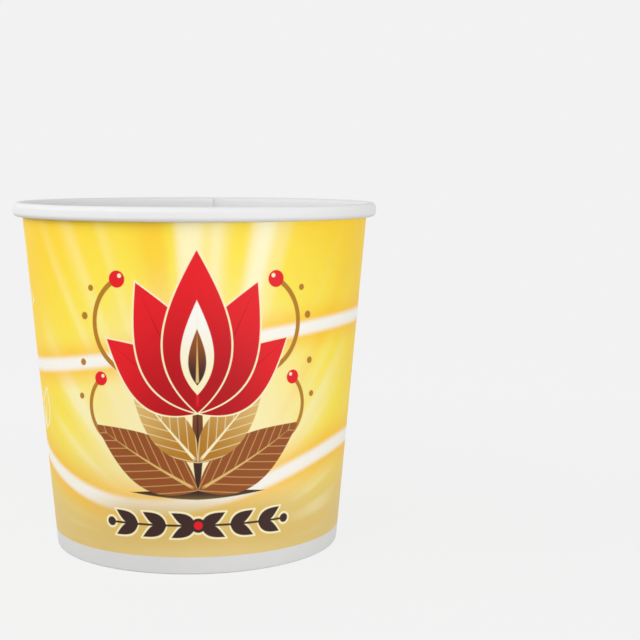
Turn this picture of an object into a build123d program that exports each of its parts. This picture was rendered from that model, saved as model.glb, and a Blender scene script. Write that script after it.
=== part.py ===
from build123d import *
from math import acos, atan2, copysign, cos, degrees, hypot, radians, sin, sqrt, tan
import os

# A small hot-drink cup of coated board, standing on z = 0 with its axis on Z.
# Two pieces: the sidewall, one blank wrapped to a cone, lapped at the back (+Y), rolled out
# at the rim and folded in at the foot, and the base disc, whose skirt the fold clamps.

# Driving dimensions, in millimetres
rim_diameter = 62.0  # over the rolled rim
base_diameter = 48.8  # outside of the wall, carried down to the standing edge
cup_height = 58.8  # standing edge to the top of the rim

# Rolled rim
wall_board = 0.30  # thickness of the sidewall board
rim_roll_width = 1.80  # across the top of the roll, from the inside of the wall
rim_roll_side = 0.70  # straight outer side, between the roll's upper and lower bends
rim_tuck_gap = 0.08  # between the wall and the edge that is tucked inside the roll
rim_tuck_length = 0.35  # straight end of that edge
rim_corners = 2  # creases in each quarter turn of the roll's upper half
tuck_corners = 3  # creases in its lower half turn, which brings the edge in and up

# Lapped side seam
seam_overlap = 6.0  # two layers of board, measured at half height
seam_ramp = 3.0  # width over which the outer layer climbs onto the inner one
seam_bond_share = 0.5  # of the board: how deep the outer layer is bonded into the inner one

# Folded foot
hem_height = 5.5  # top of the folded-in edge above the standing edge
fold_corners = 2  # creases in each quarter turn of the fold

# Base disc
base_board = 0.26  # thickness of the base board
base_bend_radius = 0.80  # middle line of the bend between floor and skirt
base_corners = 2  # creases in that bend
base_hem_gap = 0.30  # between the top of the hem and the start of that bend
skirt_foot_gap = 0.15  # between the skirt's lower edge and the inside of the fold
seal_gap = 0.02  # glue line on each side of the skirt

cut_overrun = 1.0  # how far a cut runs past the rim

# The wall's line: it touches the roll's upper bend on the inside and meets the base diameter
rim_bend_radius = (rim_roll_width - wall_board) / 2
hollow_radius = rim_bend_radius - wall_board / 2
rim_centre_r = (rim_diameter - rim_roll_width) / 2
rim_centre_z = cup_height - rim_roll_width / 2
wall_run = rim_centre_r - base_diameter / 2
wall_lean = acos(hollow_radius / hypot(wall_run, rim_centre_z)) - atan2(rim_centre_z, wall_run)
lean_angle = degrees(wall_lean)
wall_up = Vector(sin(wall_lean), cos(wall_lean))

# The roll's lower bend brings the edge back up beside the wall
tuck_reach = wall_board + rim_tuck_gap - rim_roll_side * sin(wall_lean)
tuck_bend_radius = rim_bend_radius - tuck_reach / (1 + cos(wall_lean))

# The foot's corners on the board's middle line: the heel under the wall, the toe under the hem
fold_space = base_board + 2 * seal_gap
fold_bend_radius = wall_board / 2  # folded tight: no radius is left on the inside
heel_r = base_diameter / 2 + wall_board / 2 * (tan(wall_lean) - 1 / cos(wall_lean))
heel = Vector(heel_r, wall_board / 2)
toe = heel - Vector((fold_space + wall_board) / cos(wall_lean), 0)
heel_setback = fold_bend_radius * tan(radians((90 - lean_angle) / 2))
toe_setback = fold_bend_radius * tan(radians((90 + lean_angle) / 2))

# Levels
wall_foot_z = heel.Y + heel_setback  # the wall is straight from here up
skirt_foot_z = wall_foot_z + skirt_foot_gap
floor_z = hem_height + base_hem_gap + base_bend_radius  # middle of the floor's board


def wall_radius(z, depth):
    """Radius at height z of the line that lies depth inside the wall's outer face."""
    return base_diameter / 2 + z * tan(wall_lean) - depth / cos(wall_lean)


def board_face(start, heading, bends, last_run, offset):
    """One face of a bent board, offset left of its middle line: a bend is creases that touch its arc."""
    points = [start + heading.rotate(Axis.Z, 90) * offset]
    setback = 0
    for run, turn, radius, corners in bends:
        face_radius = radius - offset * copysign(1, turn)
        creases = corners if face_radius else 1  # the inside of a tight fold is one sharp corner
        step = setback + run
        setback = face_radius * tan(radians(abs(turn) / creases / 2))
        step += setback
        for _ in range(creases):
            points.append(points[-1] + heading * step)
            heading = heading.rotate(Axis.Z, turn / creases)
            step = 2 * setback
    points.append(points[-1] + heading * (setback + last_run))
    return points


def board_section(start, heading, bends, last_run, thickness):
    """Section of a board that runs and bends in turn: a bend is its run-up, turn, radius and creases."""
    left = board_face(start, heading, bends, last_run, thickness / 2)
    right = board_face(start, heading, bends, last_run, -thickness / 2)
    return Plane.XZ * make_face(Polyline(*left, *reversed(right), close=True))


def around(radius, angle, z):
    """Point at a radius and an angle from +X, at height z."""
    return Vector(radius * cos(radians(angle)), radius * sin(radians(angle)), z)


def seam_angle(width):
    """Angle that a width along the wall takes up at half height."""
    return degrees(width / wall_radius(cup_height / 2, 0))


lap_start = 90 - seam_angle(seam_overlap) / 2
lap_end = 90 + seam_angle(seam_overlap) / 2
ramp_start = lap_start - seam_angle(seam_ramp)
seam_bond = seam_bond_share * wall_board
lap_top_z = rim_centre_z + sqrt((rim_roll_width / 2) ** 2 - (hollow_radius + seam_bond) ** 2)


def lap_outline(z):
    """Plan of the outer layer at height z: it climbs a ramp, lies flat and ends in a cut edge."""
    bonded = wall_radius(z, seam_bond)
    raised = wall_radius(z, -wall_board)
    ramp = Line(around(bonded, ramp_start, z), around(raised, lap_start, z))
    lap_middle = around(raised, (lap_start + lap_end) / 2, z)
    outside = ThreePointArc(ramp @ 1, lap_middle, around(raised, lap_end, z))
    cut_edge = Line(outside @ 1, around(bonded, lap_end, z))
    bond_middle = around(bonded, (ramp_start + lap_end) / 2, z)
    bond = ThreePointArc(cut_edge @ 1, bond_middle, ramp @ 0)
    return make_face([ramp, outside, cut_edge, bond])


def step_outline(z):
    """Plan at height z of the hollow inside the cup, between the ramp and the inner layer's cut edge."""
    inside = wall_radius(z, wall_board + seam_bond)
    ramp_foot = around(inside, ramp_start, z)
    ramp_top = around(wall_radius(z, 0), lap_start, z)
    return make_face(Polyline(ramp_foot, ramp_top, around(inside, lap_start, z), close=True))


def make_sidewall():
    """Hem, fold, wall and rolled rim bent from one board, then lapped along the back."""
    hem_run = (hem_height - heel.Y) / cos(wall_lean)
    fold_flat = (heel - toe).length - toe_setback - heel_setback
    rim_touch = Vector(rim_centre_r, rim_centre_z) + wall_up.rotate(Axis.Z, 90) * rim_bend_radius
    bends = [
        (hem_run - toe_setback, 90 + lean_angle, fold_bend_radius, fold_corners),
        (fold_flat, 90 - lean_angle, fold_bend_radius, fold_corners),
        ((rim_touch - heel).length - heel_setback, lean_angle - 90, rim_bend_radius, rim_corners),
        (0, -90, rim_bend_radius, rim_corners),
        (rim_roll_side, -180 - lean_angle, tuck_bend_radius, tuck_corners),
    ]
    section = board_section(toe + wall_up * hem_run, -wall_up, bends, rim_tuck_length, wall_board)
    lap = loft([lap_outline(wall_foot_z), lap_outline(lap_top_z)], ruled=True)
    step = loft([step_outline(hem_height), step_outline(cup_height + cut_overrun)], ruled=True)
    return revolve(section, Axis.Z) + lap - step


def make_base_disc():
    """Flat floor with its skirt bent down between the wall and the hem."""
    skirt_depth = wall_board + seal_gap + base_board / 2
    bend_setback = base_bend_radius * tan(radians((90 + lean_angle) / 2))
    floor_run = wall_radius(floor_z, skirt_depth) - bend_setback
    skirt_run = (floor_z - skirt_foot_z) / cos(wall_lean) - bend_setback
    bends = [(floor_run, -90 - lean_angle, base_bend_radius, base_corners)]
    section = board_section(Vector(0, floor_z), Vector(1, 0), bends, skirt_run, base_board)
    return revolve(section, Axis.Z)


os.makedirs("parts", exist_ok=True)
export_step(make_sidewall(), "parts/sidewall.step")
export_step(make_base_disc(), "parts/base_disc.step")
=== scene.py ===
from math import acos, atan2, ceil, copysign, cos, degrees, hypot, pi, radians, sin, tan

import bmesh
import bpy
from mathutils import Euler, Matrix, Vector


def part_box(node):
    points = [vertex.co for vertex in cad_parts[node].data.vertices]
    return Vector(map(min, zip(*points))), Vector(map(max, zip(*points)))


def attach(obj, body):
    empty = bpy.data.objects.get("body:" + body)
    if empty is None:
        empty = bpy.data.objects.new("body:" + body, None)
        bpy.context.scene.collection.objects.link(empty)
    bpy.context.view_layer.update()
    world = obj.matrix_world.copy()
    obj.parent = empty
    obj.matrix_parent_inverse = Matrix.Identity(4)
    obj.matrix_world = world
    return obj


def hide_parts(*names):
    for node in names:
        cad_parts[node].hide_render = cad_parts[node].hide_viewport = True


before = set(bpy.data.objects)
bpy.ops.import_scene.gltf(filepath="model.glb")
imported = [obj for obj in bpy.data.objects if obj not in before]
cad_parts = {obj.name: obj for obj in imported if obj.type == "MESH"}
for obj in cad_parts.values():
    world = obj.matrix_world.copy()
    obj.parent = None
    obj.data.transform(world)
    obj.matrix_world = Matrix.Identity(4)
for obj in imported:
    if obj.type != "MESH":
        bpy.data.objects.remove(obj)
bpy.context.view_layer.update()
mm = 0.001  # sizes below are in millimetres, the scene is in metres
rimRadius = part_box("sidewall")[1].x / mm
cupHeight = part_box("sidewall")[1].z / mm
print("frame loaded:", ", ".join(sorted(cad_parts)))


# Node helpers

def plug(tree, value, socket):  # links an output, or sets a plain value
    if isinstance(value, bpy.types.NodeSocket):
        tree.links.new(value, socket)
    else:
        socket.default_value = value


def addNode(tree, kind, sockets=None, **settings):
    node = tree.nodes.new(kind)
    for name, value in settings.items():
        setattr(node, name, value)
    for socket, value in (sockets or {}).items():
        plug(tree, value, node.inputs[socket])
    return node


def calc(tree, operation, *values):  # one step of arithmetic
    return addNode(tree, "ShaderNodeMath", dict(enumerate(values)), operation=operation).outputs[0]


def calcVector(tree, operation, *values):  # the same on vectors, gives a Vector or a Value
    return addNode(tree, "ShaderNodeVectorMath", dict(enumerate(values)), operation=operation).outputs


def scaled(tree, place, factor):
    return addNode(tree, "ShaderNodeVectorMath", {0: place, "Scale": factor}, operation="SCALE").outputs[0]


def turned(tree, place, angle):
    sockets = {"Vector": place, "Angle": angle}
    return addNode(tree, "ShaderNodeVectorRotate", sockets, rotation_type="Z_AXIS").outputs[0]


def split(tree, place):
    return addNode(tree, "ShaderNodeSeparateXYZ", {0: place}).outputs


def vector(tree, x, y):
    return addNode(tree, "ShaderNodeCombineXYZ", {"X": x, "Y": y}).outputs[0]


def objectPlace(tree):
    return addNode(tree, "ShaderNodeTexCoord").outputs["Object"]


def ease(tree, value, low, high):  # 0 at low, 1 at high, smooth in between
    sockets = {"Value": value, "From Min": low, "From Max": high}
    return addNode(tree, "ShaderNodeMapRange", sockets, interpolation_type="SMOOTHSTEP").outputs["Result"]


def filled(tree, beyond, edge):  # 1 inside a shape, where beyond is negative, with a soft edge
    return ease(tree, beyond, edge, calc(tree, "MULTIPLY", edge, -1))


def paint(tree, under, over, mask, share=None):  # lays one colour over another through a mask
    if share is not None:
        mask = calc(tree, "MULTIPLY", mask, share)
    # 0, 6 and 7 are a colour mix's factor and its two colours
    return addNode(tree, "ShaderNodeMix", {0: mask, 6: under, 7: over}, data_type="RGBA").outputs[2]


def ink(red, green, blue):  # a screen colour, 0 to 255, as linear light
    def linear(level):
        share = level / 255
        return share / 12.92 if share <= 0.04045 else ((share + 0.055) / 1.055) ** 2.4
    return (linear(red), linear(green), linear(blue), 1)


def newGroup(name, inputs, outputs):
    tree = bpy.data.node_groups.new(name, "ShaderNodeTree")
    for label, kind in inputs.items():
        tree.interface.new_socket(label, in_out="INPUT", socket_type="NodeSocket" + kind)
    for label, kind in outputs.items():
        tree.interface.new_socket(label, in_out="OUTPUT", socket_type="NodeSocket" + kind)
    taken = tree.nodes.new("NodeGroupInput").outputs
    given = tree.nodes.new("NodeGroupOutput").inputs
    return tree, taken, given


def useGroup(tree, group, sockets):
    return addNode(tree, "ShaderNodeGroup", sockets, node_tree=group).outputs


def newMaterial(name):
    material = bpy.data.materials.new(name)
    material.use_nodes = True
    tree = material.node_tree
    return material, tree, tree.nodes["Principled BSDF"]


# Shared effects

grainForm = {
    "cloudDetail": 3,
    "fibreDetail": 2,
    "fibreWarp": 1.5,
    "fibreShare": 0.5,  # the fibres' part in the shade, where the cloud's is 1
}


def boardGrainGroup():  # faint cloudiness and fibre relief of board
    tree, taken, given = newGroup(
        "boardGrain",
        {"Cloud Size": "Float", "Fibre Size": "Float", "Depth": "Float"},
        {"Shade": "Float", "Gloss": "Float", "Height": "Float"},
    )
    place = objectPlace(tree)
    cloud = addNode(tree, "ShaderNodeTexNoise", {
        "Vector": place,
        "Scale": calc(tree, "DIVIDE", 1, taken["Cloud Size"]),
        "Detail": grainForm["cloudDetail"],
    }).outputs[0]
    fibre = addNode(tree, "ShaderNodeTexNoise", {
        "Vector": place,
        "Scale": calc(tree, "DIVIDE", 1, taken["Fibre Size"]),
        "Detail": grainForm["fibreDetail"],
        "Distortion": grainForm["fibreWarp"],
    }).outputs[0]
    both = calc(tree, "ADD", cloud, calc(tree, "MULTIPLY", fibre, grainForm["fibreShare"]))
    middle = (1 + grainForm["fibreShare"]) / 2  # each noise averages a half
    fade = calc(tree, "MULTIPLY", calc(tree, "SUBTRACT", both, middle), taken["Depth"])
    plug(tree, calc(tree, "ADD", 1, fade), given["Shade"])
    plug(tree, cloud, given["Gloss"])
    plug(tree, fibre, given["Height"])
    return tree


leafForm = {
    "overrun": 0.5,  # share of the length, past both ends, over which the outline curves on
    "skew": 0.35,  # brings the widest place below the middle
    "ribStart": (0.02, 0.08),  # shares of the length over which the rib comes up
    "ribEnd": 0.9,
    "veinSlope": 1.4,  # veins run out and up
    "veinGap": 1.1,  # half the way from one vein to the next
}


def leafShapeGroup():  # a pointed leaf or petal that grows from its root
    tree, taken, given = newGroup(
        "leafShape",
        {"Place": "Vector", "Root": "Vector", "Lean": "Float", "Length": "Float", "Width": "Float",
         "Stroke": "Float", "Edge": "Float"},
        {"Mask": "Float", "Along": "Float", "Rib": "Float", "Veins": "Float", "Outline": "Float"},
    )
    edge = taken["Edge"]
    away = calcVector(tree, "SUBTRACT", taken["Place"], taken["Root"])["Vector"]
    part = split(tree, turned(tree, away, taken["Lean"]))
    side = calc(tree, "ABSOLUTE", part["X"])
    share = calc(tree, "DIVIDE", part["Y"], taken["Length"])
    capped = calc(tree, "MINIMUM", share, 1 + leafForm["overrun"])
    along = calc(tree, "MAXIMUM", capped, -leafForm["overrun"])
    hump = calc(tree, "MULTIPLY", along, calc(tree, "SUBTRACT", 1, along))
    bulge = calc(tree, "ADD", along, calc(tree, "MULTIPLY", hump, leafForm["skew"]))
    arch = calc(tree, "MULTIPLY", bulge, calc(tree, "SUBTRACT", 1, bulge))  # a quarter at its top
    half = calc(tree, "MULTIPLY", arch, calc(tree, "MULTIPLY", taken["Width"], 2))
    beyond = calc(tree, "SUBTRACT", side, half)
    halfStroke = calc(tree, "MULTIPLY", taken["Stroke"], 0.5)
    taper = calc(tree, "MULTIPLY", calc(tree, "SUBTRACT", leafForm["ribEnd"], along), taken["Stroke"])
    rib = filled(tree, calc(tree, "SUBTRACT", side, taper), edge)
    slant = calc(tree, "SUBTRACT", part["Y"], calc(tree, "MULTIPLY", side, leafForm["veinSlope"]))
    vein = calc(tree, "PINGPONG", slant, leafForm["veinGap"])
    outline = calc(tree, "SUBTRACT", calc(tree, "ABSOLUTE", beyond), halfStroke)
    plug(tree, filled(tree, beyond, edge), given["Mask"])
    plug(tree, along, given["Along"])
    plug(tree, calc(tree, "MULTIPLY", rib, ease(tree, along, *leafForm["ribStart"])), given["Rib"])
    plug(tree, filled(tree, calc(tree, "SUBTRACT", vein, halfStroke), edge), given["Veins"])
    plug(tree, filled(tree, outline, edge), given["Outline"])
    return tree


def dotShapeGroup():
    tree, taken, given = newGroup(
        "dotShape",
        {"Place": "Vector", "Centre": "Vector", "Radius": "Float", "Edge": "Float"},
        {"Mask": "Float"},
    )
    reach = calcVector(tree, "DISTANCE", taken["Place"], taken["Centre"])["Value"]
    beyond = calc(tree, "SUBTRACT", reach, taken["Radius"])
    plug(tree, filled(tree, beyond, taken["Edge"]), given["Mask"])
    return tree


def curlShapeGroup():  # a stroke along part of a circle
    tree, taken, given = newGroup(
        "curlShape",
        {"Place": "Vector", "Centre": "Vector", "Radius": "Float", "Width": "Float", "From": "Float",
         "To": "Float", "Edge": "Float"},
        {"Mask": "Float"},
    )
    away = calcVector(tree, "SUBTRACT", taken["Place"], taken["Centre"])["Vector"]
    part = split(tree, away)
    reach = calcVector(tree, "LENGTH", away)["Value"]
    off = calc(tree, "ABSOLUTE", calc(tree, "SUBTRACT", reach, taken["Radius"]))
    beyond = calc(tree, "SUBTRACT", off, calc(tree, "MULTIPLY", taken["Width"], 0.5))
    bearing = calc(tree, "ARCTAN2", part["Y"], part["X"])
    begun = calc(tree, "GREATER_THAN", bearing, taken["From"])
    within = calc(tree, "MULTIPLY", begun, calc(tree, "LESS_THAN", bearing, taken["To"]))
    plug(tree, calc(tree, "MULTIPLY", filled(tree, beyond, taken["Edge"]), within), given["Mask"])
    return tree


def ribbonShapeGroup():  # a soft line that waves round the cup, with a glow beside it
    tree, taken, given = newGroup(
        "ribbonShape",
        {"Angle": "Float", "Height": "Float", "Level": "Float", "Swing": "Float", "Waves": "Float",
         "Shift": "Float", "Width": "Float", "Edge": "Float", "Glow": "Float"},
        {"Line": "Float", "Halo": "Float"},
    )
    phase = calc(tree, "ADD", calc(tree, "MULTIPLY", taken["Angle"], taken["Waves"]), taken["Shift"])
    wave = calc(tree, "MULTIPLY", taken["Swing"], calc(tree, "SINE", phase))
    middle = calc(tree, "ADD", taken["Level"], wave)
    off = calc(tree, "ABSOLUTE", calc(tree, "SUBTRACT", taken["Height"], middle))
    beyond = calc(tree, "SUBTRACT", off, calc(tree, "MULTIPLY", taken["Width"], 0.5))
    plug(tree, ease(tree, beyond, taken["Edge"], 0), given["Line"])
    plug(tree, ease(tree, off, taken["Glow"], 0), given["Halo"])
    return tree


boardGrain = boardGrainGroup()
leafShape = leafShapeGroup()
dotShape = dotShapeGroup()
curlShape = curlShapeGroup()
ribbonShape = ribbonShapeGroup()
print("shader groups built")


# Board materials

boardLook = {
    "cloudSize": 2.4 * mm,
    "fibreSize": 0.16 * mm,
    "relief": 0.012 * mm,
    "coated": {  # inside, rim and floor, under a thin clear coating
        "colour": ink(229, 229, 230), "mottle": 0.03, "roughness": (0.42, 0.52), "bump": 0.25, "sheen": 0.2,
    },
    "plain": {  # outside, where the board has no coating; set greyer than the coated board, partly its own tone and partly painted shade for the dimmer foot
        "colour": ink(222, 222, 221), "mottle": 0.06, "roughness": (0.62, 0.74), "bump": 0.6, "sheen": 0.5,
    },
    "cut": {  # fibres at a cut edge
        "colour": ink(232, 226, 212), "mottle": 0.2, "roughness": (0.62, 0.74), "bump": 1.0, "sheen": 0.5,
    },
}


def dressBoard(tree, shader, finish, colour):
    shader.inputs["Specular IOR Level"].default_value = finish["sheen"]
    grain = useGroup(tree, boardGrain, {
        "Cloud Size": boardLook["cloudSize"], "Fibre Size": boardLook["fibreSize"], "Depth": finish["mottle"],
    })
    plug(tree, scaled(tree, colour, grain["Shade"]), shader.inputs["Base Color"])
    gloss = {"Value": grain["Gloss"], "To Min": finish["roughness"][0], "To Max": finish["roughness"][1]}
    plug(tree, addNode(tree, "ShaderNodeMapRange", gloss).outputs["Result"], shader.inputs["Roughness"])
    bump = {"Strength": finish["bump"], "Distance": boardLook["relief"], "Height": grain["Height"]}
    plug(tree, addNode(tree, "ShaderNodeBump", bump).outputs[0], shader.inputs["Normal"])


def boardMaterial(name, finish):
    material, tree, shader = newMaterial(name)
    dressBoard(tree, shader, finish, finish["colour"][:3])
    return material


coatedBoard = boardMaterial("coatedBoard", boardLook["coated"])
plainBoardWithShade = boardMaterial("plainBoardWithShade", boardLook["plain"])
cutEdge = boardMaterial("cutEdge", boardLook["cut"])
print("board materials built")


# Bent board: a section of straight runs and bends, as both pieces have

boardMesh = {
    "rowLength": 1.6,
    "arcStep": 10.0,  # degrees
    "sharpRadius": 0.003,  # a bend tighter than this is one corner
    "sharpAngle": 40.0,  # degrees
}


def leftOf(heading):
    return Vector((-heading.y, heading.x))


def boardSkin(start, heading, moves, offset):
    # one face of the board: a move is its zone, straight length, turn in degrees and bend radius
    point = start + leftOf(heading) * offset
    skin = [(moves[0][0], point)]
    for zone, length, turn, radius in moves:
        rows = ceil(length / boardMesh["rowLength"])
        for row in range(rows):
            skin.append((zone, point + heading * length * (row + 1) / rows))
        point = point + heading * length
        faceRadius = radius - offset * copysign(1, turn)
        centre = point + leftOf(heading) * copysign(faceRadius, turn)
        steps = ceil(abs(turn) / boardMesh["arcStep"]) if faceRadius > boardMesh["sharpRadius"] else 0
        for step in range(steps):
            swing = Matrix.Rotation(radians(turn * (step + 1) / steps), 2)
            skin.append((zone, centre + swing @ (point - centre)))
        heading = Matrix.Rotation(radians(turn), 2) @ heading
        if steps:
            point = skin[-1][1]
    return skin


def smooth(value, low, high):  # 0 at low, 1 at high
    share = min(max((value - low) / (high - low), 0), 1)
    return share * share * (3 - 2 * share)


def addColumn(shape, section, angle):  # the section's points, turned about the cup's axis
    places = [point * mm for point in section]
    return [shape.verts.new((r * cos(angle), r * sin(angle), z)) for r, z in places]


def finishMesh(name, shape, finishes):
    bmesh.ops.recalc_face_normals(shape, faces=shape.faces)
    mesh = bpy.data.meshes.new(name)
    shape.to_mesh(mesh)
    shape.free()
    mesh.set_sharp_from_angle(angle=radians(boardMesh["sharpAngle"]))
    for material in finishes.values():
        mesh.materials.append(material)
    return mesh


# Sidewall, in the sizes of the solid that it stands for

wallSize = {
    "baseRadius": 24.4,  # outside of the wall, carried down to the standing edge
    "board": 0.30,
    "rollWidth": 1.80,
    "rollSide": 0.70,
    "rollNotch": 0.12,  # depth of the inner layer's edge where the roll takes it round
    "tuckGap": 0.08,
    "tuckLength": 0.35,
    "hemHeight": 5.5,
    "foldSpace": 0.30,
    "lapWidth": 6.0,  # two layers, at half height
    "rampWidth": 3.0,
    "lapFoot": 0.9,  # height from which the outer layer has its full thickness
    "lapPress": 2.0,  # height under the roll over which it is pressed thin
    "pressedShare": 0.2,
    "cutSlope": 0.03,  # width of a cut edge's face, seen from outside
    "flutes": 96,  # crimp marks round the inside of the hem
    "fluteDepth": 0.11,
    "fluteMargin": 0.9,  # plain edge above and below them
    "columns": 480,
    "plainMapScale": 0.4,  # size in the flat map of what isn't printed
}
board = wallSize["board"]
rollRadius = (wallSize["rollWidth"] - board) / 2
rollMiddle = Vector((rimRadius - wallSize["rollWidth"] / 2, cupHeight - wallSize["rollWidth"] / 2))
rollFoot = rollMiddle.y - wallSize["rollSide"]  # level of the roll's lower bend
wallRun = rollMiddle.x - wallSize["baseRadius"]
wallLean = acos((rollRadius - board / 2) / hypot(wallRun, rollMiddle.y)) - atan2(rollMiddle.y, wallRun)
wallUp = Vector((sin(wallLean), cos(wallLean)))


def wallLine(z, depth=0):  # radius at height z, depth inside the wall's outer face
    return wallSize["baseRadius"] + z * tan(wallLean) - depth / cos(wallLean)


def sidewallSkins():
    lean = degrees(wallLean)
    heel = Vector((wallLine(board / 2, board / 2), board / 2))
    toe = heel - Vector(((wallSize["foldSpace"] + board) / cos(wallLean), 0))
    foldRadius = board / 2
    heelSetback = foldRadius * tan(radians((90 - lean) / 2))
    toeSetback = foldRadius * tan(radians((90 + lean) / 2))
    hemRun = (wallSize["hemHeight"] - board / 2) / cos(wallLean)
    touch = rollMiddle + leftOf(wallUp) * rollRadius
    tuckReach = board + wallSize["tuckGap"] - wallSize["rollSide"] * sin(wallLean)
    tuckRadius = rollRadius - tuckReach / (1 + cos(wallLean))
    moves = [
        ("hem", hemRun - toeSetback, 90 + lean, foldRadius),
        ("sole", (heel - toe).length - toeSetback - heelSetback, 90 - lean, foldRadius),
        ("wall", (touch - heel).length - heelSetback, 0, 0),
        ("roll", 0, lean - 90, rollRadius),
        ("roll", 0, -90, rollRadius),
        ("roll", wallSize["rollSide"], -180 - lean, tuckRadius),
        ("tuck", wallSize["tuckLength"], 0, 0),
    ]
    start = toe + wallUp * hemRun
    return boardSkin(start, -wallUp, moves, -board / 2), boardSkin(start, -wallUp, moves, board / 2)


def seamAngles():
    halfGirth = wallLine(cupHeight / 2)
    halfLap = wallSize["lapWidth"] / halfGirth / 2
    lapEnd = pi / 2 + halfLap  # the outer layer's cut edge
    lapStart = pi / 2 - halfLap  # the inner layer's cut edge
    rampStart = lapStart - wallSize["rampWidth"] / halfGirth
    return rampStart, lapStart, lapEnd, wallSize["cutSlope"] / halfGirth


rampStart, lapStart, lapEnd, cutSlope = seamAngles()


def columnAngles():  # from the outer cut edge right round to where the inner layer comes out under it
    count = wallSize["columns"]
    last = lapEnd - 2 * pi + cutSlope
    even = [lapEnd + (last - lapEnd) * step / count for step in range(count + 1)]
    cuts = [lapStart, lapStart - cutSlope]
    # an even column that would crowd a cut is left out
    kept = [angle for angle in even if min(abs(angle - cut) for cut in cuts) > 2 * cutSlope]
    return sorted(kept + cuts, reverse=True)


def shapedPoint(side, zone, point, angle):
    r, z = point
    ramp = smooth(angle, rampStart, lapStart - cutSlope)
    if side == "print" and zone == "wall":  # the outer layer climbs onto the inner one
        underRoll = rollFoot - rollRadius
        press = 1 - (1 - wallSize["pressedShare"]) * smooth(z, underRoll - wallSize["lapPress"], underRoll)
        lap = board * ramp * press * smooth(z, board, wallSize["lapFoot"])
        return Vector((max(r, wallLine(z, -lap)), z))
    if side == "print" and zone == "hem":  # crimp marks
        low, high = wallSize["fluteMargin"], wallSize["hemHeight"] - wallSize["fluteMargin"]
        band = smooth(z, low, low + board) * (1 - smooth(z, high - board, high))
        wave = (1 + cos(wallSize["flutes"] * angle)) / 2
        return Vector((r + wallSize["fluteDepth"] * band * wave, z))
    step = ramp if angle < lapStart else 0  # down to the outer layer, beside the inner layer's edge
    if side == "coated" and zone in ("wall", "roll") and r < rollMiddle.x and z > wallSize["hemHeight"]:
        return Vector((max(r, wallLine(z, board - board * step)), z))
    if side == "coated" and zone == "roll":
        heart = Vector((rollMiddle.x, min(max(z, rollFoot), rollMiddle.y)))
        return point + (heart - point).normalized() * wallSize["rollNotch"] * step
    return point


def wallFinish(loop, angles, column, row):
    side, zone, _ = loop[row]
    nextSide, nextZone, _ = loop[(row + 1) % len(loop)]
    onWall = zone == nextZone == "wall"
    if side != nextSide:
        return "cut"  # the board's two long edges
    if side == "print" and onWall and column == len(angles) - 1:
        return "cut"  # the outer layer's edge at the seam
    if side == "coated" and onWall and angles[column] == lapStart:
        return "cut"  # the inner layer's
    if side == "print" and "hem" in (zone, nextZone):
        return "plain"
    return "printed" if side == "print" else "coated"


def flatHeights(loop):  # each row's place up the flat map, most of which goes to the print
    heights = [0]
    for row, (side, zone, point) in enumerate(loop):
        after = loop[(row + 1) % len(loop)][2]
        scale = 1 if side == "print" and zone == "wall" else wallSize["plainMapScale"]
        heights.append(heights[-1] + scale * (after - point).length)
    return [height / heights[-1] for height in heights]


def buildSidewall(finishes):
    printSkin, coatedSkin = sidewallSkins()
    loop = [("print", zone, point) for zone, point in printSkin]
    loop += [("coated", zone, point) for zone, point in reversed(coatedSkin)]
    angles = columnAngles()
    columns, rows = len(angles), len(loop)
    shape = bmesh.new()
    grid = []
    for angle in angles:
        section = [shapedPoint(side, zone, point, angle) for side, zone, point in loop]
        grid.append(addColumn(shape, section, angle))
    slots = list(finishes)
    heights = flatHeights(loop)
    flatMap = shape.loops.layers.uv.new("OFBake")
    for column in range(columns):
        for row in range(rows):
            corners = [(column, row), (column + 1, row), (column + 1, row + 1), (column, row + 1)]
            face = shape.faces.new([grid[across % columns][up % rows] for across, up in corners])
            for corner, (across, up) in zip(face.loops, corners):
                corner[flatMap].uv = (across / columns, heights[up])
            face.smooth = True
            face.material_index = slots.index(wallFinish(loop, angles, column, row))
    return finishMesh("cupSidewall", shape, finishes)


# Print on the sidewall, laid out flat: millimetres across from the front and up from the foot

inks = {
    "gold": ink(252, 211, 46),
    "lemon": ink(252, 231, 82),
    # a duller, darker yellow for the lower wall: partly the print's own tone, partly painted shade
    "strawAndShade": ink(226, 198, 124),
    "amber": ink(220, 185, 98),
    "pale": ink(255, 249, 212),
    "cream": ink(252, 241, 198),
    "orange": ink(253, 190, 34),
    "white": ink(250, 249, 243),
    "red": ink(230, 28, 37),
    "deepRed": ink(178, 16, 26),
    "brown": ink(148, 80, 38),
    "ochre": ink(180, 123, 36),
    "tan": ink(224, 186, 112),
    "dark": ink(58, 36, 32),
}
printEdge = 0.09  # softness of a printed shape
printStroke = 0.3  # width of a printed line


def printPlace(tree):
    shift = lapEnd - pi / 2  # the turn starts and ends at the outer cut edge
    part = split(tree, turned(tree, scaled(tree, objectPlace(tree), 1 / mm), -shift))
    bearing = calc(tree, "ARCTAN2", part["X"], calc(tree, "MULTIPLY", part["Y"], -1))
    angle = calc(tree, "ADD", bearing, shift)
    girth = calc(tree, "MULTIPLY_ADD", part["Z"], tan(wallLean), wallSize["baseRadius"])
    aside = calc(tree, "ABSOLUTE", calc(tree, "MULTIPLY", angle, girth))
    return {
        "angle": angle,
        "height": part["Z"],
        "girth": girth,
        "aside": aside,
        "mirrored": vector(tree, aside, part["Z"]),  # the same on both sides of the front
        "edgeGap": calc(tree, "MULTIPLY", calc(tree, "SUBTRACT", pi + shift, angle), girth),
    }


def below(tree, value, limit):  # 1 below a limit and 0 above it, as sharp as the print is
    return ease(tree, value, limit + printEdge, limit - printEdge)


def drawLeaf(tree, place, root, lean, length, width, stroke=printStroke):
    return useGroup(tree, leafShape, {
        "Place": place, "Root": (*root, 0), "Lean": radians(lean), "Length": length, "Width": width,
        "Stroke": stroke, "Edge": printEdge,
    })


def drawDot(tree, place, centre, radius):
    sockets = {"Place": place, "Centre": (*centre, 0), "Radius": radius, "Edge": printEdge}
    return useGroup(tree, dotShape, sockets)["Mask"]


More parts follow.
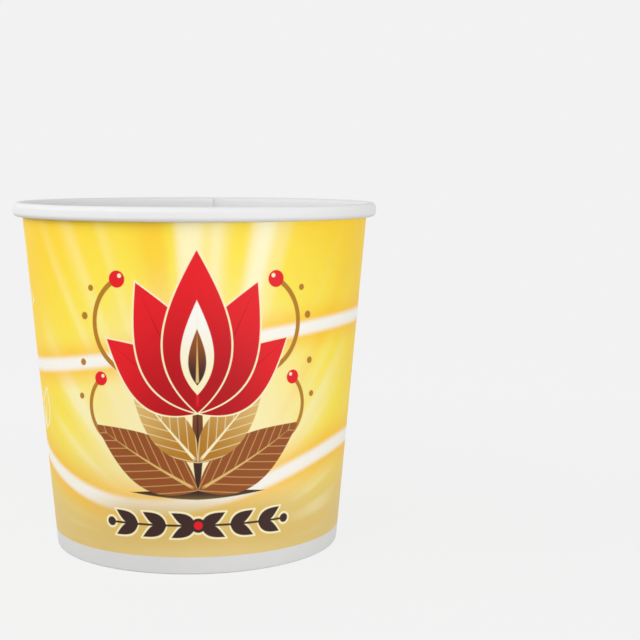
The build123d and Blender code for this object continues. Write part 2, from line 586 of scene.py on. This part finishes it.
fieldLook = {  # a pair is where a colour starts to show and where it is full
    "rayCentre": 5.0,  # height that the rays spread from
    "rayCount": 5.2,
    "raySeed": 0.4,
    "rayDetail": 1.5,
    "rayReach": (10.0, 34.0),
    "rayFacing": (0.36, 0.84),  # cosines of the angle from the front or the back
    "deepRay": (0.46, 0.28),  # levels of the noise
    "deepShare": 0.5,
    "paleRay": (0.47, 0.70),
    "paleShare": 0.9,
    "glowCentre": 25.0,
    "lemonReach": (44.0, 22.0),
    "creamReach": (28.0, 6.0),
    "creamShare": 0.85,
    # heights over which the yellow turns darker towards the foot: partly the print's own tone, partly painted
    # shade
    "strawAndShadeHeight": (24.0, 4.0),
}


def paintField(tree, spot):  # yellow with soft rays, centred at the front and again at the back
    look = fieldLook
    folded = calc(tree, "MULTIPLY", calc(tree, "ARCSINE", calc(tree, "SINE", spot["angle"])), spot["girth"])
    rise = calc(tree, "SUBTRACT", spot["height"], look["rayCentre"])
    bearing = calc(tree, "ARCTAN2", folded, rise)
    rayPlace = calc(tree, "MULTIPLY_ADD", bearing, look["rayCount"], look["raySeed"])
    raySockets = {"W": rayPlace, "Scale": 1, "Detail": look["rayDetail"]}
    rays = addNode(tree, "ShaderNodeTexNoise", raySockets, noise_dimensions="1D").outputs[0]
    reach = calcVector(tree, "LENGTH", vector(tree, folded, rise))["Value"]
    facing = calc(tree, "ABSOLUTE", calc(tree, "COSINE", spot["angle"]))
    facing = ease(tree, facing, *look["rayFacing"])
    spread = calc(tree, "MULTIPLY", ease(tree, reach, *look["rayReach"]), facing)
    deepRay = calc(tree, "MULTIPLY", ease(tree, rays, *look["deepRay"]), spread)
    paleRay = calc(tree, "MULTIPLY", ease(tree, rays, *look["paleRay"]), spread)
    glowPlace = vector(tree, folded, calc(tree, "SUBTRACT", spot["height"], look["glowCentre"]))
    glow = calcVector(tree, "LENGTH", glowPlace)["Value"]
    colour = paint(tree, inks["gold"], inks["lemon"], ease(tree, glow, *look["lemonReach"]))
    # darker towards the foot: partly the print's own tone, partly painted shade
    colour = paint(tree, colour, inks["strawAndShade"], ease(tree, spot["height"], *look["strawAndShadeHeight"]))
    colour = paint(tree, colour, inks["orange"], deepRay, look["deepShare"])
    colour = paint(tree, colour, inks["pale"], paleRay, look["paleShare"])
    return paint(tree, colour, inks["cream"], ease(tree, glow, *look["creamReach"]), look["creamShare"])


ribbonLook = {
    "haloShare": 0.75,
    "lineShare": 0.95,
    "ribbons": [
        {"Level": 35.5, "Swing": 4.5, "Waves": 1, "Shift": 0.35, "Width": 0.9, "Edge": 1.2, "Glow": 5.0},
        {"Level": 15, "Swing": 4.0, "Waves": 2, "Shift": -0.9, "Width": 1.1, "Edge": 1.3, "Glow": 6.0},
    ],
}


def paintRibbons(tree, spot, colour):  # soft white lines that wave round the cup
    for form in ribbonLook["ribbons"]:
        ribbon = useGroup(tree, ribbonShape, {"Angle": spot["angle"], "Height": spot["height"], **form})
        colour = paint(tree, colour, inks["orange"], ribbon["Halo"], ribbonLook["haloShare"])
        colour = paint(tree, colour, inks["white"], ribbon["Line"], ribbonLook["lineShare"])
    return colour


sprigLook = {
    "repeats": 6,
    "rows": [  # share of a repeat that a row is turned by, height, lean of its first leaf
        {"turn": 0.5, "height": 43.5, "lean": 30},
        {"turn": 0.25, "height": 21.0, "lean": -40},
    ],
    "leaves": [{"lean": 0, "length": 11.0, "width": 4.8}, {"lean": 65, "length": 8.0, "width": 3.8}],
    "frontLimits": (0.62, 0.52),  # cosines between which the sprigs give way to the bloom
}


def paintSprigs(tree, spot, colour):  # thin outlined leaves round the sides and back
    step = 2 * pi / sprigLook["repeats"]
    sideways = ease(tree, calc(tree, "COSINE", spot["angle"]), *sprigLook["frontLimits"])
    for row in sprigLook["rows"]:
        turn = calc(tree, "ADD", spot["angle"], row["turn"] * step)
        local = calc(tree, "WRAP", turn, step / 2, -step / 2)
        place = vector(tree, calc(tree, "MULTIPLY", local, spot["girth"]), spot["height"])
        for leaf in sprigLook["leaves"]:
            lean = row["lean"] + leaf["lean"]
            drawn = drawLeaf(tree, place, (0, row["height"]), lean, leaf["length"], leaf["width"])
            rib = calc(tree, "MULTIPLY", drawn["Rib"], drawn["Mask"])
            lines = calc(tree, "MAXIMUM", drawn["Outline"], rib)
            colour = paint(tree, colour, inks["white"], lines, sideways)
    return colour


bloomLook = {
    "curls": [  # tendrils, each with a berry on its end
        {"centre": (9.0, 40.5), "radius": 8.0, "width": 0.8, "from": -80, "to": 62, "berry": 1.35},
        {"centre": (12.2, 27.0), "radius": 6.0, "width": 0.7, "from": -100, "to": 50, "berry": 1.15},
    ],
    "shineOffset": (-0.35, 0.4),  # of a berry's radius
    "shineShare": 0.25,
    "dots": [(19.0, 41.5, 0.6), (17.6, 46.0, 0.5), (20.2, 28.4, 0.5), (19.6, 34.0, 0.55)],
    "leaves": [  # drawn in this order: root, lean from upright, size, colours from root to tip
        {"root": (-11, 13.4), "lean": 90, "size": (22, 1.9), "colours": ("dark", "dark"), "rib": "dark"},
        {"root": (0, 12.8), "lean": 0, "size": (24, 1.7), "colours": ("dark", "brown"), "rib": "dark"},
        {"root": (0, 14.0), "lean": 60, "size": (20, 8.5), "colours": ("brown", "brown"), "rib": "tan",
         "veins": "tan"},
        {"root": (0, 18.5), "lean": 40, "size": (17, 6.5), "colours": ("ochre", "tan"), "rib": "cream",
         "veins": "cream"},
        {"root": (0, 26.5), "lean": 52, "size": (19, 9.0), "colours": ("deepRed", "red"), "rib": "deepRed",
         "outline": "cream"},
        {"root": (0, 26.5), "lean": 25, "size": (23, 10.5), "colours": ("deepRed", "red"), "rib": "deepRed",
         "outline": "cream"},
        {"root": (0, 26.5), "lean": 0, "size": (26, 11.0), "colours": ("deepRed", "red"), "rib": "red",
         "outline": "cream"},
        {"root": (0, 29.5), "lean": 0, "size": (15, 5.2), "colours": ("cream", "white"), "rib": "cream"},
        {"root": (0, 31.0), "lean": 0, "size": (9, 2.8), "colours": ("dark", "brown"), "rib": "tan"},
    ],
    "tipFade": (0.1, 0.9),  # shares of a leaf's length over which its colour changes
    "veinShare": 0.5,
}


def paintCurl(tree, place, curl, colour):
    centre = Vector(curl["centre"])
    stroke = useGroup(tree, curlShape, {
        "Place": place, "Centre": (*centre, 0), "Radius": curl["radius"], "Width": curl["width"],
        "From": radians(curl["from"]), "To": radians(curl["to"]), "Edge": printEdge,
    })
    colour = paint(tree, colour, inks["ochre"], stroke["Mask"])
    berry = curl["berry"]
    end = centre + curl["radius"] * Vector((cos(radians(curl["to"])), sin(radians(curl["to"]))))
    shine = end + Vector(bloomLook["shineOffset"]) * berry
    colour = paint(tree, colour, inks["red"], drawDot(tree, place, end, berry))
    return paint(tree, colour, inks["cream"], drawDot(tree, place, shine, bloomLook["shineShare"] * berry))


def paintLeaf(tree, place, leaf, colour):
    low, high = leaf["colours"]
    drawn = drawLeaf(tree, place, leaf["root"], leaf["lean"], *leaf["size"])
    body = paint(tree, inks[low], inks[high], ease(tree, drawn["Along"], *bloomLook["tipFade"]))
    if "veins" in leaf:
        body = paint(tree, body, inks[leaf["veins"]], drawn["Veins"], bloomLook["veinShare"])
    body = paint(tree, body, inks[leaf["rib"]], drawn["Rib"])
    colour = paint(tree, colour, body, drawn["Mask"])
    if "outline" in leaf:
        colour = paint(tree, colour, inks[leaf["outline"]], drawn["Outline"])
    return colour


def paintBloom(tree, spot, colour):  # drawn once on the mirrored place, so it shows on both sides
    place = spot["mirrored"]
    for curl in bloomLook["curls"]:
        colour = paintCurl(tree, place, curl, colour)
    for x, y, radius in bloomLook["dots"]:
        colour = paint(tree, colour, inks["ochre"], drawDot(tree, place, (x, y), radius))
    for leaf in bloomLook["leaves"]:
        colour = paintLeaf(tree, place, leaf, colour)
    return colour


garlandLook = {
    "height": 8.2,
    "pitch": 4.7,
    "pairs": 3,  # on each side
    "leaf": (4.4, 1.9),
    "leafStart": 0.4,  # from the start of its pitch
    "lean": 62,
    "stem": 0.35,
    "border": 0.35,  # pale line round the leaves and dots
    "middleDot": 1.2,
    "heartDot": 0.7,  # red, on the middle one
    "endDot": 0.75,
    "endGap": 0.5,  # from the last pitch to the end dot's centre
    "groundAside": (24.0, 9.0),  # where the golden ground starts to show and where it is full
    "groundUp": (5.6, 1.8),
    "groundShare": 0.8,
}


def paintGarland(tree, spot, colour):  # a row of small dark leaves below the bloom, on a golden ground
    look = garlandLook
    off = calc(tree, "ABSOLUTE", calc(tree, "SUBTRACT", spot["height"], look["height"]))
    ground = ease(tree, spot["aside"], *look["groundAside"])
    ground = calc(tree, "MULTIPLY", ease(tree, off, *look["groundUp"]), ground)
    colour = paint(tree, colour, inks["amber"], ground, look["groundShare"])
    reach = look["pairs"] * look["pitch"]
    within = calc(tree, "LESS_THAN", spot["aside"], reach)
    place = vector(tree, calc(tree, "WRAP", spot["aside"], look["pitch"], 0), spot["height"])
    root = (look["leafStart"], look["height"])
    leaves = []
    for lean in (look["lean"], 180 - look["lean"]):
        leaves.append(drawLeaf(tree, place, root, lean, *look["leaf"], 2 * look["border"]))
    middle = (0, look["height"])
    end = (reach + look["endGap"], look["height"])
    dots = [(middle, look["middleDot"]), (end, look["endDot"])]
    for leaf in leaves:
        colour = paint(tree, colour, inks["cream"], leaf["Outline"], within)
    for centre, radius in dots:
        border = drawDot(tree, spot["mirrored"], centre, radius + look["border"])
        colour = paint(tree, colour, inks["cream"], border)
    colour = paint(tree, colour, inks["dark"], below(tree, off, look["stem"] / 2), within)
    for leaf in leaves:
        colour = paint(tree, colour, inks["dark"], leaf["Mask"], within)
    for centre, radius in dots:
        colour = paint(tree, colour, inks["dark"], drawDot(tree, spot["mirrored"], centre, radius))
    return paint(tree, colour, inks["red"], drawDot(tree, spot["mirrored"], middle, look["heartDot"]))


marginLook = {"bottom": 2.9, "seam": 0.6}  # white above the foot and beside the outer cut edge


def paintMargins(tree, spot, colour):
    bottom = below(tree, spot["height"], marginLook["bottom"])
    seam = below(tree, spot["edgeGap"], marginLook["seam"])
    # the margins take the uncoated board's grey, which is partly painted shade
    return paint(tree, colour, boardLook["plain"]["colour"], calc(tree, "MAXIMUM", bottom, seam))


def printedBoardMaterial():
    material, tree, shader = newMaterial("printedBoard")
    spot = printPlace(tree)
    colour = paintField(tree, spot)
    for layer in (paintRibbons, paintSprigs, paintBloom, paintGarland, paintMargins):
        colour = layer(tree, spot, colour)
    dressBoard(tree, shader, boardLook["coated"], colour)  # the print's varnish shines as the coating does
    return material


def makeSidewall():
    finishes = {"printed": printedBoardMaterial(), "coated": coatedBoard, "plain": plainBoardWithShade, "cut": cutEdge}
    mesh = buildSidewall(finishes)
    piece = bpy.data.objects.new("cupSidewall", mesh)
    bpy.context.collection.objects.link(piece)
    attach(piece, "root")
    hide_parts("sidewall")
    print("sidewall built:", len(mesh.polygons), "faces")


makeSidewall()


# Base disc

baseSize = {
    "board": 0.26,
    "bendRadius": 0.80,
    "hemGap": 0.30,
    "footGap": 0.15,
    "glueLine": 0.02,
    "pleats": 72,  # faint folds where the floor's edge is drawn down
    "pleatDepth": 0.05,
    "pleatLength": 2.0,
    "columns": 360,
    "floorRings": 8,
}


def baseSkins():
    thick = baseSize["board"]
    lean = degrees(wallLean)
    middleZ = wallSize["hemHeight"] + baseSize["hemGap"] + baseSize["bendRadius"]
    footZ = board / 2 + board / 2 * tan(radians((90 - lean) / 2)) + baseSize["footGap"]
    setback = baseSize["bendRadius"] * tan(radians((90 + lean) / 2))
    floorRun = wallLine(middleZ, board + baseSize["glueLine"] + thick / 2) - setback
    skirtRun = (middleZ - footZ) / cos(wallLean) - setback
    inner = floorRun / baseSize["floorRings"]
    moves = [("floor", floorRun - inner, -90 - lean, baseSize["bendRadius"]), ("skirt", skirtRun, 0, 0)]
    start = Vector((inner, middleZ))
    return [boardSkin(start, Vector((1, 0)), moves, offset) for offset in (thick / 2, -thick / 2)]


def pleated(point, bendStart, angle):
    if point.y <= wallSize["hemHeight"] + baseSize["hemGap"]:
        return point
    rise = smooth(point.x, bendStart - baseSize["pleatLength"], bendStart)
    fall = smooth(point.x, bendStart, bendStart + baseSize["bendRadius"])
    wave = (1 + cos(baseSize["pleats"] * angle)) / 2
    return Vector((point.x, point.y - baseSize["pleatDepth"] * rise * (1 - fall) * wave))


def buildBaseDisc(finishes):
    upper, lower = baseSkins()
    loop = [point for _, point in upper] + [point for _, point in reversed(lower)]
    bendStart = max(point.x for point in loop) - baseSize["bendRadius"]
    columns, rows = baseSize["columns"], len(loop) - 1
    coated, plain, cut = [list(finishes).index(name) for name in ("coated", "plain", "cut")]
    lowest = len(upper) - 1  # the skirt's cut edge
    slots = [coated] * lowest + [cut] + [plain] * (rows - lowest - 1)
    shape = bmesh.new()
    grid = []
    for column in range(columns):
        angle = 2 * pi * column / columns
        grid.append(addColumn(shape, [pleated(point, bendStart, angle) for point in loop], angle))
    top, bottom = [shape.verts.new((0, 0, point.y * mm)) for point in (loop[0], loop[-1])]
    for column in range(columns):
        here, there = grid[column], grid[(column + 1) % columns]
        for row in range(rows):
            face = shape.faces.new((here[row], there[row], there[row + 1], here[row + 1]))
            face.smooth = True
            face.material_index = slots[row]
        shape.faces.new((top, here[0], there[0])).material_index = coated
        shape.faces.new((bottom, there[-1], here[-1])).material_index = plain
    return finishMesh("cupBaseDisc", shape, finishes)


def makeBaseDisc():
    # only the side that meets the drink is coated
    mesh = buildBaseDisc({"coated": coatedBoard, "plain": plainBoardWithShade, "cut": cutEdge})
    piece = bpy.data.objects.new("cupBaseDisc", mesh)
    bpy.context.collection.objects.link(piece)
    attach(piece, "root")
    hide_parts("base_disc")
    print("base disc built:", len(mesh.polygons), "faces")


makeBaseDisc()


# Stage

stageLook = {  # sizes in metres
    "backdrop": ink(242, 242, 242),
    "nearBackdrop": ink(253, 253, 253),  # makes up for the lit part of the floor's look
    "floor": (0.4, 0.4, 0.4, 1),
    "floorSize": 3.0,
    "backdropShare": 0.85,  # of the floor's look near the cup, the rest is lit and takes the shadow
    "fade": (0.06, 0.24),  # distances from the cup's axis over which the lit part goes
    "skyLevel": 0.49,
}


def seenDirectly(tree):  # rays that should meet the backdrop and not the lit floor or the sky
    path = addNode(tree, "ShaderNodeLightPath").outputs
    mirrorRay = calc(tree, "MAXIMUM", path["Is Glossy Ray"], path["Is Transmission Ray"])
    return calc(tree, "MAXIMUM", path["Is Camera Ray"], mirrorRay)


def makeFloor():
    half = stageLook["floorSize"] / 2
    corners = [(-half, -half, 0), (half, -half, 0), (half, half, 0), (-half, half, 0)]
    mesh = bpy.data.meshes.new("floor")
    mesh.from_pydata(corners, [], [(0, 1, 2, 3)])
    material, tree, shader = newMaterial("paleFloor")
    tree.nodes.remove(shader)
    lit = addNode(tree, "ShaderNodeBsdfDiffuse", {"Color": stageLook["floor"]})
    reach = calcVector(tree, "LENGTH", objectPlace(tree))["Value"]
    away = ease(tree, reach, *stageLook["fade"])
    glow = paint(tree, stageLook["nearBackdrop"], stageLook["backdrop"], away)
    plain = addNode(tree, "ShaderNodeEmission", {"Color": glow})
    share = calc(tree, "MULTIPLY_ADD", away, 1 - stageLook["backdropShare"], stageLook["backdropShare"])
    share = calc(tree, "MULTIPLY", share, seenDirectly(tree))
    mix = addNode(tree, "ShaderNodeMixShader", {0: share, 1: lit.outputs[0], 2: plain.outputs[0]})
    tree.links.new(mix.outputs[0], tree.nodes["Material Output"].inputs["Surface"])
    mesh.materials.append(material)
    floor = bpy.data.objects.new("floor", mesh)
    bpy.context.collection.objects.link(floor)


def makeSky():
    world = bpy.data.worlds.new("studio")
    bpy.context.scene.world = world
    world.use_nodes = True
    tree = world.node_tree
    sky = tree.nodes["Background"]
    level = stageLook["skyLevel"]
    sky.inputs["Color"].default_value = (level, level, level, 1)
    backdrop = addNode(tree, "ShaderNodeBackground", {"Color": stageLook["backdrop"]})
    shaders = {0: seenDirectly(tree), 1: sky.outputs[0], 2: backdrop.outputs[0]}
    mix = addNode(tree, "ShaderNodeMixShader", shaders)
    tree.links.new(mix.outputs[0], tree.nodes["World Output"].inputs["Surface"])


lamps = {  # bearing from the front and height in degrees, reach and size of the soft box in metres, watts
    "keyLamp": {"bearing": -36, "height": 33, "reach": 0.26, "size": (0.20, 0.20), "power": 0.24},
    "leftLamp": {"bearing": -90, "height": 20, "reach": 0.45, "size": (0.30, 0.20), "power": 0.76},
    "rightLamp": {"bearing": 44, "height": 4, "reach": 0.45, "size": (0.60, 0.08), "power": 1.18},
    "backLamp": {"bearing": 180, "height": 2, "reach": 0.45, "size": (0.40, 0.08), "power": 0.86},
}
lampAim = Vector((0, 0, 0.04))
shinelessLamps = ("leftLamp", "backLamp")  # their shine would draw a white line along the rim


def makeLamps():
    for name, setting in lamps.items():
        lamp = bpy.data.lights.new(name, "AREA")
        lamp.shape = "RECTANGLE"
        lamp.size, lamp.size_y = setting["size"]
        lamp.energy = setting["power"]
        turn = Euler((-radians(setting["height"]), 0, radians(setting["bearing"]))).to_matrix()
        away = turn @ Vector((0, -setting["reach"], 0))
        holder = bpy.data.objects.new(name, lamp)
        holder.location = lampAim + away
        holder.visible_camera = False
        holder.visible_glossy = name not in shinelessLamps
        holder.rotation_euler = (-away).to_track_quat("-Z", "Y").to_euler()
        bpy.context.collection.objects.link(holder)


cameraView = {  # as the photograph was taken, in millimetres and degrees
    "distance": 241.92,
    "height": 65.52,
    "turn": 5.082,
    "tilt": 6.446,
    "roll": 0.195,
    "lens": 78.325,
    "sensor": 36.0,
    "clipStart": 10.0,
}


def makeCamera():
    data = bpy.data.cameras.new("camera")
    data.sensor_width = cameraView["sensor"]
    data.lens = cameraView["lens"]
    data.clip_start = cameraView["clipStart"] * mm
    camera = bpy.data.objects.new("camera", data)
    camera.location = (0, -cameraView["distance"] * mm, cameraView["height"] * mm)
    look = Euler((radians(90 - cameraView["tilt"]), 0, -radians(cameraView["turn"]))).to_matrix()
    camera.rotation_euler = (look @ Matrix.Rotation(radians(cameraView["roll"]), 3, "Z")).to_euler()
    bpy.context.collection.objects.link(camera)
    bpy.context.scene.camera = camera


makeFloor()
makeSky()
makeLamps()
makeCamera()
bpy.context.scene.view_settings.view_transform = "Standard"
print("stage, lamps and camera set")
